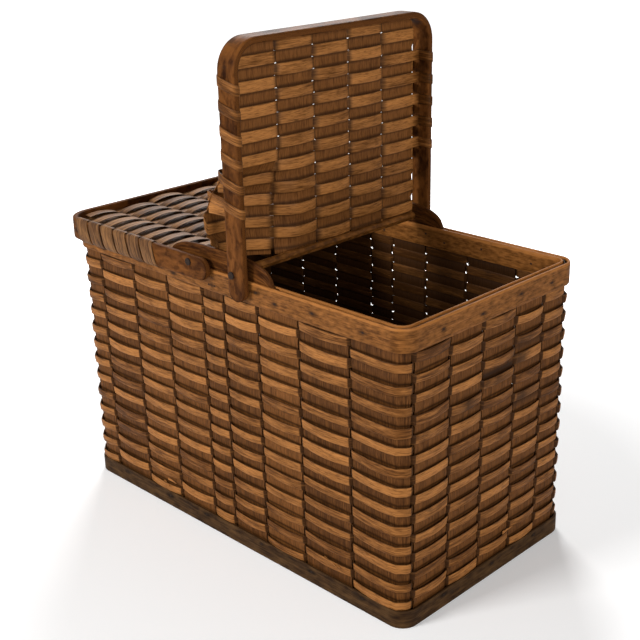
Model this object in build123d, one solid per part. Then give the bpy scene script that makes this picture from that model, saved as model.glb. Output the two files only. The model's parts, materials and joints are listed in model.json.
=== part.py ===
from build123d import *
import os
from math import cos, hypot, pi, sin

# A splint picnic basket: woven walls and base between hoops, and two woven lids on bent bows.
# Millimetres, +Z up, X along the basket. The left lid lies closed and the right lid stands open.

# Body
body_length = 450.0
body_width = 240.0
body_height = 280.0
corner_radius = 17.0
corner_facets = 4

# Hoops: an outer and an inner one nip the woven wall at the rim and at the foot
outer_hoop = 2.6
inner_hoop = 2.2
wall_space = 3.8
rim_depth = 21.0
foot_depth = 17.0
foot_lift = 9.8

# Uprights: nine splints run front to back under the base, five run end to end
splint = 1.1
splint_gap = 3.5
top_recess = 1.5
cross_widths = [21.6, 55, 53, 53, 29, 45, 52, 61, 47.6]
long_widths = [45.6, 44, 46, 40.6, 31]
corner_wrap = 71.0
wing_clearance = 0.3
base_height = 4.0
base_bend = 6.0

# Weavers: closed rows, over one upright and under the next
weaver = 1.1
row_pitch = 9.3
row_gap = 0.2
weave_clearance = 0.15
turn_room = 0.25

# Crescents, the wooden ears that carry the pivots
crescent_thickness = 3.6
crescent_half = 70.0
crescent_rise = 20.0
crescent_tongue = 18.0
tongue_half = 76.0
crescent_facets = 6

# Pivots
pivot_x = 30.0
pivot_rise = 5.0
nail_radius = 2.0
nail_head_radius = 3.4
nail_head = 1.2
pivot_clearance = 0.05
head_clearance = 0.3

# Bows: one bent frame for each lid
arm_clearance = 1.5
bow_thickness = 6.0
bow_depth = 21.5
bow_above = 6.0
bow_reach = 205.0
bow_corner = 28.0
bow_facets = 5
tail = 24.0
groove_depth = 1.5
groove_clearance = 0.15

# Lid panels
warps = 5
warp_gap = 4.0
panel_clearance = 2.2
panel_drop = 2.0
panel_start = 3.0
lid_rows = 18
first_wrapped_row = 5
first_wrapped_near_open = 9
lid_strip = 8.9
row_start_gap = 0.2
rod_radius = 4.0
rod_clearance = 0.9
rod_out = 4.0
rod_seat = 0.1

# Cut nails, driven flush through both hoops: places along the walls and heights
nail_width = 2.2
nail_depth = 1.6
rim_nail_places = [(-176, 6), (-118, 7), (-64, 5), (-12, 6), (-4, 6), (52, 13), (76, 8), (122, 11), (180, 9)]
rim_end_places = [(-72, 10), (-20, 8), (34, 11), (80, 9)]
foot_nail_places = [(-170, 13), (-96, 12), (-38, 13), (44, 13), (112, 12), (176, 13)]
foot_end_places = [(-66, 13), (4, 12), (70, 13)]

# What follows from them
half_x = body_length / 2 - outer_hoop - wall_space / 2
half_y = body_width / 2 - outer_hoop - wall_space / 2
mid_radius = corner_radius - outer_hoop - wall_space / 2
flat_x = half_x - mid_radius
flat_y = half_y - mid_radius
weave_side = (splint + weaver) / 2 + weave_clearance
stake_top = body_height - top_recess
pivot_z = body_height + pivot_rise
panel_half = half_y - crescent_thickness / 2 - panel_clearance
rod_half = body_width / 2 - outer_hoop - wall_space - inner_hoop - rod_clearance
arm_inside = body_width / 2 + arm_clearance
arm_outside = arm_inside + bow_thickness
lid_end = pivot_x + bow_reach
warp_width = (2 * panel_half - warp_gap * (warps - 1)) / warps
middle_x = (lid_end - body_length / 2) / 2


def offset_line(points, distance, closed=False):
    """Points of a line moved to its right by a distance, mitred at the bends."""
    count = len(points)
    moved = []
    for i, (x, y) in enumerate(points):
        normals = []
        for a, b in ((i - 1, i), (i, i + 1)):
            if closed or (a >= 0 and b < count):
                p, q = points[a % count], points[b % count]
                size = hypot(q[0] - p[0], q[1] - p[1])
                normals.append(((q[1] - p[1]) / size, (p[0] - q[0]) / size))
        nx = sum(n[0] for n in normals)
        ny = sum(n[1] for n in normals)
        scale = distance * len(normals) / (nx * nx + ny * ny)
        moved.append((x + nx * scale, y + ny * scale))
    return moved


def prism(points, plane, amount):
    """Flat-sided solid on an outline."""
    return extrude(plane * make_face(Polyline(*points, close=True)), amount=amount)


def ribbon(points, thickness, plane, amount):
    """Strip of even thickness that follows a line, as wide as the amount."""
    sides = offset_line(points, thickness / 2) + offset_line(points, -thickness / 2)[::-1]
    return prism(sides, plane, amount)


def facets(corners):
    """Flat faces of a four-cornered patch: one where it is plane, or else two."""
    a, b, c, d = [Vector(*p) for p in corners]
    if abs((b - a).cross(c - a).dot(d - a)) < 1e-5:
        return [Face(Wire.make_polygon([a, b, c, d]))]
    return [Face(Wire.make_polygon([a, b, c])), Face(Wire.make_polygon([a, c, d]))]


def strand(sections, closed=False):
    """Solid splint through three-cornered sections."""
    faces = []
    following = sections[1:] + sections[:1] if closed else sections[1:]
    for a, b in zip(sections, following):
        for i in range(3):
            j = (i + 1) % 3
            faces += facets([a[i], a[j], b[j], b[i]])
    if not closed:
        faces += [Face(Wire.make_polygon([Vector(*p) for p in end])) for end in (sections[0], sections[-1])]
    solid = Solid(Shell(faces))
    return solid if solid.volume > 0 else Solid(Shell([-face for face in faces]))


def edges_of(widths, run):
    """Start and end of each splint when a wall's straight run is shared out in these widths."""
    share = (run - splint_gap * (len(widths) - 1)) / sum(widths)
    start = -run / 2
    spans = []
    for width in widths:
        spans.append((start, start + width * share))
        start += width * share + splint_gap
    return spans


cross_spans = edges_of(cross_widths, 2 * flat_x)
long_spans = edges_of(long_widths, 2 * flat_y)


def corner_point(degrees, radius=mid_radius):
    """Point of the front right corner, by its angle from the end wall's side."""
    angle = degrees * pi / 180
    return (flat_x + radius * cos(angle), -flat_y - radius * sin(angle))


def corner_wing():
    """Plan of the part of a corner upright that is bent round towards the end wall."""
    return [(flat_x + mid_radius / 3, -half_y), corner_point(90 - corner_wrap)]


def wall_runs():
    """Plan lines of all uprights in the order in which a weaver meets them."""
    front = [[(x0, -half_y), (x1, -half_y)] for x0, x1 in cross_spans]
    front[-1] = [front[-1][0]] + corner_wing()
    front[0] = [(-x, y) for x, y in corner_wing()[::-1]] + [front[0][1]]
    right = [[(half_x, y0), (half_x, y1)] for y0, y1 in long_spans]
    back = [[(x, -y) for x, y in run[::-1]] for run in front[::-1]]
    left = [[(-x, y) for x, y in run[::-1]] for run in right[::-1]]
    return front, right, back, left


def lengthened(run, amount):
    """Line made longer at both ends."""
    points = list(run)
    for end, beside in ((0, 1), (-1, -2)):
        p, q = points[end], points[beside]
        size = hypot(q[0] - p[0], q[1] - p[1])
        points[end] = (p[0] - (q[0] - p[0]) * amount / size, p[1] - (q[1] - p[1]) * amount / size)
    return points


def u_line(half, depth):
    """Side view of a splint that runs down one wall, under the base and up the other wall."""
    chamfer_part = base_bend * (1 - cos(pi / 6))
    low = [(half, depth + base_bend - chamfer_part), (half - base_bend + chamfer_part, depth)]
    return [(half, stake_top)] + low


def cross_splint(index):
    """Splint from the front wall under the base to the back wall."""
    x0, x1 = cross_spans[index]
    half_line = u_line(half_y, base_height)
    line = half_line + [(-y, z) for y, z in half_line[::-1]]
    plane = Plane(origin=(x0, 0, 0), x_dir=(0, 1, 0), z_dir=(1, 0, 0))
    solid = ribbon(line, splint, plane, x1 - x0)
    if index in (0, len(cross_spans) - 1):
        hand = -1 if index == 0 else 1
        bottom = foot_depth + wing_clearance
        height = body_height - rim_depth - wing_clearance - bottom
        inner = max(x0 * hand, x1 * hand)
        for side in (-1, 1):
            wing = [(inner - splint, -half_y)] + corner_wing()
            wing = [(hand * x, -side * y) for x, y in wing]
            solid += ribbon(wing, splint, Plane.XY.offset(bottom), height)
    if min(abs(x0), abs(x1)) < tongue_half or x0 * x1 < 0:
        room = splint_gap / 2
        under = body_height - crescent_tongue - room
        slot = Box(2 * (tongue_half + room), body_width, body_height, align=(Align.CENTER, Align.CENTER, Align.MIN))
        solid -= Pos(0, 0, under) * slot
    return solid


def long_splint(index):
    """Splint from one end wall to the other, over and under the cross splints of the base."""
    y0, y1 = long_spans[index]
    sides = [1 if (index + i) % 2 else -1 for i in range(len(cross_spans))]
    start = u_line(half_x, base_height + sides[-1] * weave_side)
    finish = u_line(half_x, base_height + sides[0] * weave_side)
    line = start
    for (x0, x1), side in list(zip(cross_spans, sides))[::-1]:
        height = base_height + side * weave_side
        line = line + [(x1 + turn_room, height), (x0 - turn_room, height)]
    line = line[:len(start)] + line[len(start) + 1:-1] + [(-x, z) for x, z in finish[::-1]]
    plane = Plane(origin=(0, y1, 0), x_dir=(1, 0, 0), z_dir=(0, -1, 0))
    return ribbon(line, splint, plane, y1 - y0)


def weaver_row(first_side):
    """Closed row, outside and inside the uprights by turns."""
    line = []
    side = first_side
    for wall in wall_runs():
        for run in wall:
            line += offset_line(lengthened(run, turn_room), side * weave_side)
            side = -side
    outer = offset_line(line, weaver / 2, closed=True)
    inner = offset_line(line, -weaver / 2, closed=True)
    rise = (row_pitch - row_gap) / 2
    sections = [((x, y, -rise), (x, y, rise), (u, v, 0.0)) for (x, y), (u, v) in zip(outer, inner)]
    return strand(sections, closed=True)


def rounded_plan(inset):
    """Plan of the wall's corners and sides at a depth from the hoops' outer face."""
    points = []
    for turn in range(4):
        sx, sy = ((1, -1), (1, 1), (-1, 1), (-1, -1))[turn]
        for i in range(corner_facets + 1):
            angle = (turn - 1 + i / corner_facets) * pi / 2
            radius = corner_radius - inset
            points.append((sx * flat_x + radius * cos(angle), sy * flat_y + radius * sin(angle)))
    return points


def hoop(inset, thickness, low, high):
    """Bent wooden hoop."""
    solid = prism(rounded_plan(inset), Plane.XY.offset(low), high - low)
    return solid - prism(rounded_plan(inset + thickness), Plane.XY.offset(low), high - low)


def crescent(side):
    """Wooden ear that stands in the rim, with the two pivot holes."""
    low = body_height - crescent_tongue
    arch = [(crescent_half * sin(a), body_height + crescent_rise * (1 - (1 - cos(a)) ** 1.6))
            for a in [i / crescent_facets * pi / 2 for i in range(-crescent_facets, crescent_facets + 1)]]
    outline = [(-tongue_half, body_height), (-tongue_half, low), (tongue_half, low), (tongue_half, body_height)]
    face = make_face(Polyline(*outline, *arch[::-1], close=True))
    plane = Plane(origin=(0, side * half_y + crescent_thickness / 2, 0), x_dir=(1, 0, 0), z_dir=(0, -1, 0))
    plate = extrude(plane * face, amount=crescent_thickness)
    for x in (-pivot_x, pivot_x):
        plate -= Pos(x, side * half_y, pivot_z) * Rot(90, 0, 0) * Cylinder(nail_radius, 2 * crescent_thickness)
    return plate


def pivot_nail(x, side):
    """Round nail with a flat head outside the arm."""
    inside = half_y - crescent_thickness / 2
    shank_end = arm_outside + head_clearance
    shank = Cylinder(nail_radius, shank_end - inside, align=(Align.CENTER, Align.CENTER, Align.MIN))
    head = Cylinder(nail_head_radius, nail_head, align=(Align.CENTER, Align.CENTER, Align.MIN))
    nail = shank + Pos(0, 0, shank_end - inside) * head
    return Pos(x, side * inside, pivot_z) * Rot(-90 * side, 0, 0) * nail


def hoop_nails(base, along_side, along_end):
    """Headless nails of one pair of hoops, alike on opposite walls."""
    length = outer_hoop + wall_space + inner_hoop
    nails = []
    for side in (-1, 1):
        for x, rise in along_side:
            nails.append(Pos(x, side * (body_width - length) / 2, base + rise) * Box(nail_width, length, nail_depth))
        for y, rise in along_end:
            nails.append(Pos(side * (body_length - length) / 2, y, base + rise) * Box(length, nail_width, nail_depth))
    return nails


def bow_outline():
    """Plan of the outside of a closed right-hand bow, from one arm round to the other."""
    cx = lid_end - bow_corner
    cy = arm_outside - bow_corner
    angles = [i / bow_facets * pi / 2 for i in range(bow_facets + 1)]
    near = [(pivot_x, -arm_outside)]
    near += [(cx + bow_corner * sin(a), -cy - bow_corner * cos(a)) for a in angles]
    return near + [(x, -y) for x, y in near[::-1]]


def bow():
    """Bent frame of a closed right-hand lid: two arms, the end bar and the pivot holes."""
    outer = bow_outline()
    inner = offset_line(outer, -bow_thickness)
    low = pivot_z + bow_above - bow_depth
    frame = prism(outer + inner[::-1], Plane.XY.offset(low), bow_depth)
    tail_end = pivot_x - tail
    radius = bow_depth / 2
    middle = low + radius
    for side in (-1, 1):
        plane = Plane(origin=(0, side * (arm_inside + bow_thickness / 2) + bow_thickness / 2, 0),
                      x_dir=(1, 0, 0), z_dir=(0, -1, 0))
        ends = [(tail_end + radius - radius * sin(i * pi / 5), middle - radius * cos(i * pi / 5)) for i in range(6)]
        frame += prism([(pivot_x, low)] + ends + [(pivot_x, low + bow_depth)], plane, bow_thickness)
        hole = Cylinder(nail_radius + pivot_clearance, 2 * bow_thickness)
        frame -= Pos(pivot_x, side * (arm_inside + bow_thickness / 2), pivot_z) * Rot(90, 0, 0) * hole
    inner_warps = panel_half - warp_width - warp_gap
    groove = Box(2 * groove_depth, 2 * (inner_warps + groove_clearance), splint + 2 * groove_clearance)
    return frame - Pos(lid_end - bow_thickness, 0, pivot_z - panel_drop) * groove


def warp_strips():
    """Flat splints along the lid: the middle ones are let into the end bar, the outer ones end at its bends."""
    x0 = pivot_x + panel_start
    x1 = lid_end - bow_thickness + groove_depth - groove_clearance
    level = pivot_z - panel_drop
    inside = offset_line(bow_outline(), -bow_thickness - groove_clearance)
    room = prism(inside, Plane.XY.offset(level - splint), 2 * splint)
    strips = []
    for i in range(warps):
        y = -panel_half + warp_width / 2 + i * (warp_width + warp_gap)
        strip = Pos((x0 + x1) / 2, y, level) * Box(x1 - x0, warp_width, splint)
        strips.append(strip & room if i in (0, warps - 1) else strip)
    return strips


def across_panel(x, over_first, half):
    """Line of one row over and under the warps, from the near side to the far side."""
    level = pivot_z - panel_drop
    line = []
    for i in range(warps):
        start = -panel_half + i * (warp_width + warp_gap)
        height = level + (weave_side if (i % 2 == 0) == over_first else -weave_side)
        first = start - turn_room if i else -half
        last = start + warp_width + turn_room if i < warps - 1 else half
        line += [(x, first, height), (x, last, height)]
    return line


def lid_strands(first_near):
    """A splint woven to and fro through the panel and round the arms, and a short last row."""
    level = pivot_z - panel_drop
    x0 = pivot_x + rod_out + rod_radius + row_start_gap
    pitch = (lid_end - bow_thickness - x0) / lid_rows
    bend = lid_end - bow_corner
    skin = weaver / 2 + weave_clearance
    over = pivot_z + bow_above + skin
    under = pivot_z + bow_above - bow_depth - skin
    near, far = arm_inside - skin, arm_outside + skin
    path = []
    for row in range(lid_rows - 1):
        x = x0 + (row + 0.5) * pitch
        high = row % 2 == 1
        side = -1 if high else 1
        line = across_panel(x, high, panel_half)
        path += [(x, -side * y, z) for _, y, z in line]
        end = -side
        first = first_near if end < 0 else first_wrapped_row
        if row + 1 >= first and x + pitch + lid_strip / 2 <= bend:
            turns = [(near, level - weave_side, 0), (near, under, 0), (far, under, 0.15), (far, over, 0.85), (near, over, 1)]
            if high:
                turns = [(y, z, 1 - share) for y, z, share in turns[::-1]]
            path += [(x + share * pitch, end * y, z) for y, z, share in turns]
        elif row < lid_rows - 2:
            edge = end * (panel_half + skin)
            height = path[-1][2]
            path[-1] = (x, edge, height)
            path.append((x + pitch, edge, 2 * level - height))
    x = x0 + (lid_rows - 0.5) * pitch
    radius = (bow_corner - bow_thickness) * cos(pi / 4 / bow_facets)
    last_half = arm_outside - bow_corner + (radius ** 2 - (x + lid_strip / 2 - bend) ** 2) ** 0.5
    return path, across_panel(x, True, last_half - groove_clearance)


def strand_sections(path):
    """Three-cornered sections of a strip whose width stays along X."""
    flat = [(y, z) for x, y, z in path]
    outer = offset_line(flat, weaver / 2)
    inner = offset_line(flat, -weaver / 2)
    half = lid_strip / 2
    return [((x - half, *a), (x + half, *a), (x, *b)) for (x, y, z), a, b in zip(path, outer, inner)]


def lid_weavers(first_near):
    """Both woven splints of one lid, whose near edge goes round its arm from this row on."""
    return [strand(strand_sections(line)) for line in lid_strands(first_near)]


def rod():
    """Round stick across the hinge end of the panel."""
    level = pivot_z - panel_drop - splint / 2 - rod_seat - rod_radius
    return Pos(pivot_x + rod_out, 0, level) * Rot(90, 0, 0) * Cylinder(rod_radius, 2 * rod_half)


def closed_left(solid):
    """Mirror image of a closed right-hand piece."""
    return mirror(solid, Plane.YZ)


def stood_open(solid):
    """Right-hand piece turned up about its pivot."""
    pivot = Axis((pivot_x, 0, pivot_z), (0, 1, 0))
    return solid.rotate(pivot, -90)


def save(name, *solids):
    """Writes one piece, or a group of like pieces, with the frame's origin under its middle."""
    moved = [Pos(middle_x, 0, 0) * solid for solid in solids]
    export_step(moved[0] if len(moved) == 1 else Compound(moved), f"parts/{name}.step")


os.makedirs("parts", exist_ok=True)
for index in range(len(cross_spans)):
    save(f"cross_splint_{index + 1}", cross_splint(index))
for index in range(len(long_spans)):
    save(f"long_splint_{index + 1}", long_splint(index))
rows = [weaver_row(1), weaver_row(-1)]
row_count = int((body_height - rim_depth - foot_depth) / row_pitch + 0.01)
for index in range(row_count):
    height = foot_depth + (index + 0.5) * row_pitch
    save(f"weaver_{index + 1:02d}", Pos(0, 0, height) * rows[index % 2])
inner_inset = outer_hoop + wall_space
save("rim_outer_hoop", hoop(0, outer_hoop, body_height - rim_depth, body_height))
save("rim_inner_hoop", hoop(inner_inset, inner_hoop, body_height - rim_depth, body_height))
save("foot_outer_hoop", hoop(0, outer_hoop, 0, foot_depth))
save("foot_inner_hoop", hoop(inner_inset, inner_hoop, foot_lift, foot_depth))
save("front_crescent", crescent(-1))
save("back_crescent", crescent(1))
save("pivot_nails", *[pivot_nail(x, side) for x in (-pivot_x, pivot_x) for side in (-1, 1)])
save("rim_nails", *hoop_nails(body_height - rim_depth, rim_nail_places, rim_end_places))
save("foot_nails", *hoop_nails(0, foot_nail_places, foot_end_places))
for name, pieces in (("bow", [bow()]), ("warps", warp_strips()), ("rod", [rod()])):
    save(f"left_{name}", *[closed_left(piece) for piece in pieces])
    save(f"right_{name}", *[stood_open(piece) for piece in pieces])
save("left_weavers", *[closed_left(piece) for piece in lid_weavers(first_wrapped_row)])
save("right_weavers", *[stood_open(piece) for piece in lid_weavers(first_wrapped_near_open)])
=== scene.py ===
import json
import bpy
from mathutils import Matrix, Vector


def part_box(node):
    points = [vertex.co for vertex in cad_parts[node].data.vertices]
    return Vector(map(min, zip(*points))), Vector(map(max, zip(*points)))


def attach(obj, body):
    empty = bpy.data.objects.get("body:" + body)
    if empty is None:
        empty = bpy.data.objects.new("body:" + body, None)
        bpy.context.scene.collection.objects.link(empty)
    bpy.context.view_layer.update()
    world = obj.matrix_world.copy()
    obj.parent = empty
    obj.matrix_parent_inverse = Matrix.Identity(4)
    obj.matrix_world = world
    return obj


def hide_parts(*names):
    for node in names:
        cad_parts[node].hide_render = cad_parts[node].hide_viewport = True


bl_info = {
    "name": "Splint picnic basket",
    "version": (1, 0, 0),
    "blender": (4, 5, 0),
    "location": "View3D > Sidebar > Basket",
    "description": "Woven splint basket with two lids on bent bows, dressed over its packed model",
    "category": "Add Mesh",
}

from math import cos, exp, floor, pi, radians, sin

import bpy
from bpy.props import FloatProperty, FloatVectorProperty, IntProperty, PointerProperty
from mathutils import Matrix, Vector, noise

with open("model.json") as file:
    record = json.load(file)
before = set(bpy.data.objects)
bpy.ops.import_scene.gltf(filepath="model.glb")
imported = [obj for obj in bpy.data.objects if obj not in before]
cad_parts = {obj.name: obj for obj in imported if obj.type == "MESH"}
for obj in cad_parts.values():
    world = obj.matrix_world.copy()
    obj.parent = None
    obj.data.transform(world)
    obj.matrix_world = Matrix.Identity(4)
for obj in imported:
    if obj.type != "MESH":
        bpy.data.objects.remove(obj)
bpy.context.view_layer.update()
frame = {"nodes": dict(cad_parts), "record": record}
MM = 0.001
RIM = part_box("rim_outer_hoop")
RIM_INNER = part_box("rim_inner_hoop")
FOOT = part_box("foot_outer_hoop")
FOOT_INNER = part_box("foot_inner_hoop")
MIDDLE_X = (RIM[0].x + RIM[1].x) / 2
MIDDLE = Vector((MIDDLE_X, 0, 0))
PIVOTS = {j["child"]: Vector(j["pos_m"]) for j in frame["record"]["behaviour"]["joints"]}
CROSS = ["cross_splint_%d" % (i + 1) for i in range(9)]
LONG = ["long_splint_%d" % (i + 1) for i in range(5)]
ROWS = sorted(n for n in frame["nodes"] if n.startswith("weaver_"))

# Hoops, from their outer face inwards: outer hoop, room for the woven wall, inner hoop.
OUTER_HOOP = 2.6 * MM
WALL_SPACE = 3.8 * MM
INNER_HOOP = 2.2 * MM
WALL_DEPTH = OUTER_HOOP + WALL_SPACE / 2
HOOP_STEPS = 240
NAILED_HOOP_STEPS = 760

# Base: height of its middle plane, and the bend with which its splints turn up.
BASE_HEIGHT = 4 * MM
BASE_BEND = 6 * MM
CORNER_SHARE = 0.79
UPRIGHT_STEPS = 240

# Wall rows: bends of a weaver at a slit, width and softness of the painted shade in a slit, the width from
# which an upright gets the full hump, and how far out a weaver may stand.
SLIT_MARKS = (-3.4, -2.6, -1.7, -0.8, 0, 0.8, 1.7, 2.6, 3.4)
SLIT_HALF = 2.6 * MM
SLIT_FADE = 0.9 * MM
WIDE_UPRIGHT = 45 * MM
FARTHEST_OUT = 3.7 * MM
WEAVER_PROFILE = (0.5, 0.95, 1, 1, 1, 0.95, 0.5)
# Edge points of the weaver's profile, darkened as painted shade lines along both edges.
WEAVER_EDGES = (0, 6)

# Crescents: half length above the rim and in it, and height over the rim.
CRESCENT_HALF = 70 * MM
TONGUE_MORE = 6 * MM
CRESCENT_RISE = 20 * MM

# Bows in plan, and their height above and below the pivot.
BOW_OUTER = 127.5 * MM
BOW_THICKNESS = 6 * MM
BOW_REACH = 205 * MM
BOW_CORNER = 28 * MM
BOW_TAIL = 24 * MM
BOW_LOW = -15.5 * MM
BOW_HIGH = 6 * MM

# Lid panels: half width, level against the pivot, splints and their gaps, and the stretch that the rows fill.
PANEL_HALF = 111.5 * MM
PANEL_LEVEL = -2 * MM
LID_SPLINTS = 5
LID_GAP = 4 * MM
SPLINT_START = 3 * MM
LID_ROWS_START = 8.2 * MM
LID_ROWS_END = 199 * MM
LAST_ROW_HALF = 103.5 * MM

# Plain turn of a lid's weaver from row to row: share of the pitch, share of the way out, share of the height.
PLAIN_TURN = ((0.1, 0.55, 1.0), (0.3, 0.9, 0.6), (0.5, 1.0, 0), (0.7, 0.9, -0.6), (0.9, 0.55, -1.0))

# Loose near corner of the open lid: where it starts, in what length it is fully out, and how far it spreads.
LOOSE_TOP = 100.5 * MM
LOOSE_LENGTH = 60 * MM
LOOSE_SPREAD = 12.1 * MM

# Old stains on the right-hand wall: across, height, half width and half height in millimetres, and strength.
STAINS_AT = 227
STAINS = (
    (39, 215.5, 13, 15, 1.0), (3, 203, 19, 7, 1.0), (47, 168.5, 16, 7, 0.9),
    (-37, 188, 12, 6, 0.8), (-20, 175, 14, 6, 0.8),
)

# Broken ends of old weavers, in millimetres: distance round the wall, height, length, how far they stand out
# and how far they rise.
BROKEN_ENDS = (
    (108, 30, 16, 2.5, 1.0), (101, 25, 10, 2.0, -2.0), (336, 34, 18, 3.0, -1.5),
    (346, 31, 11, 2.0, 2.0), (380, 60, 12, 2.5, 1.5), (657, 47, 12, 5.0, 2.0),
    (655, 43, 9, 4.0, -1.0), (659, 51, 7, 6.0, 4.0), (560, 36, 14, 0.9, 1.5),
)


def linear(code):
    """Linear colour of an sRGB hex code."""
    parts = [int(code[i:i + 2], 16) / 255 for i in (1, 3, 5)]
    return tuple(c / 12.92 if c <= 0.04045 else ((c + 0.055) / 1.055) ** 2.4 for c in parts)


def colour(name, code):
    """Colour property with its default from a hex code."""
    return FloatVectorProperty(name=name, subtype="COLOR", size=3, min=0, max=1, default=linear(code))


def length(name, millimetres):
    """Length property with its default in millimetres."""
    return FloatProperty(name=name, unit="LENGTH", default=millimetres * MM, precision=5)


def whole(name, default):
    """Whole number property."""
    return IntProperty(name=name, default=default, min=1)


class BasketSizes(bpy.types.PropertyGroup):
    """Sizes of the weave and the wood"""
    splint: length("Thickness of every splint", 1.1)
    corner: length("Outer radius of the hoops' corners", 17.0)
    side: length("Distance of a weaver from the middle of the wall", 1.25)
    bulge: length("How far a weaver humps over the middle of a wide upright", 2.6)
    slope: length("Length in which a weaver crosses from one side to the other", 4.4)
    row_height: length("Height of a weaver", 9.2)
    lid_strip: length("Width of the lids' weaver", 10.2)
    left_wrap: length("Width of the weaver round the closed lid's arms", 18.6)
    right_wrap: length("Width of the weaver round the open lid's arms", 9.0)
    lid_rows: whole("Weaver rows of a lid", 18)
    first_wrap: whole("Row from which the weaver goes round the arms", 5)
    loose_rows: whole("Rows of the open lid that stand off its near arm", 9)
    loop_rows: whole("Rows of the open lid without even a loose loop", 5)
    hump: length("How far the open lid's loose near corner stands out at its back", 37.0)
    lid_bulge: length("How far a lid weaver humps over a lid splint", 3.1)


class BasketColours(bpy.types.PropertyGroup):
    """Colours of the finishes"""
    weaver_light: colour("Light grain of the weavers", "#a56d39")
    weaver_dark: colour("Dark grain of the weavers", "#603916")
    # The uprights' colours are the weavers' wood made darker: painted shade, and less wear.
    upright_light: colour("Light grain of the uprights", "#7b4d25")
    upright_dark: colour("Dark grain of the uprights", "#4b2c12")
    rim_light: colour("Worn face of the rim", "#8f5b2b")
    rim_dark: colour("Grain of the rim", "#5e3814")
    foot_light: colour("Worn face of the foot", "#533a20")
    foot_dark: colour("Grain of the foot", "#291809")
    bow_light: colour("Light grain of bows and crescents", "#74461f")
    bow_dark: colour("Dark grain of bows and crescents", "#3f220d")
    # The closed lid's colours are greyer than the weavers': dust, and a painted reflection of the sky on the
    # lid's top.
    lid_light: colour("Light grain of the lids' splints", "#a57648")
    lid_dark: colour("Dark grain of the lids' splints", "#5a3a20")
    iron: colour("Nail heads", "#1c140f")
    floor: colour("Floor and backdrop", "#f4f4f4")


def basket_sizes():
    return bpy.context.scene.basket_sizes


def add(tree, kind, settings=None, links=None):
    """A node with its settings and its links, which are sockets or plain values."""
    node = tree.nodes.new(kind)
    for key, value in (settings or {}).items():
        setattr(node, key, value)
    for key, value in (links or {}).items():
        if isinstance(value, bpy.types.NodeSocket):
            tree.links.new(value, node.inputs[key])
        else:
            node.inputs[key].default_value = value
    return node


def maths(tree, operation, *values):
    """Result of a math node on sockets or plain numbers."""
    return add(tree, "ShaderNodeMath", {"operation": operation}, dict(enumerate(values))).outputs[0]


def blend(tree, factor, first, second, kind="MIX"):
    """Mix of two colours, each a socket or a plain colour."""
    settings = {"data_type": "RGBA", "blend_type": kind}
    return add(tree, "ShaderNodeMix", settings, {0: factor, 6: first, 7: second}).outputs[2]


def remapped(tree, value, low, high, start=0.0, end=1.0):
    """Value between start and end, stretched to a new range."""
    ends = {"From Min": start, "From Max": end, "To Min": low, "To Max": high}
    return add(tree, "ShaderNodeMapRange", links={"Value": value, **ends}).outputs[0]


def cloud(tree, place, scales, **settings):
    """Noise with so many lumps a metre along and across the piece."""
    at = add(tree, "ShaderNodeVectorMath", {"operation": "MULTIPLY"}, {0: place, 1: (*scales, 1)})
    made = add(tree, "ShaderNodeTexNoise", links={"Vector": at.outputs[0], "Scale": 1.0, **settings})
    return made.outputs["Fac"]


def ramp(tree, factor, stops):
    """Colour of a ramp with the given places and colours."""
    node = add(tree, "ShaderNodeValToRGB", links={"Fac": factor})
    band = node.color_ramp
    while len(band.elements) < len(stops):
        band.elements.new(0.5)
    for element, (place, tint) in zip(band.elements, stops):
        element.position = place
        element.color = (*tint, 1)
    return node.outputs["Color"]


def new_material(name):
    """Empty node material with its node tree and shader."""
    made = bpy.data.materials.new(name)
    made.use_nodes = True
    tree = made.node_tree
    return made, tree, tree.nodes["Principled BSDF"]


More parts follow.
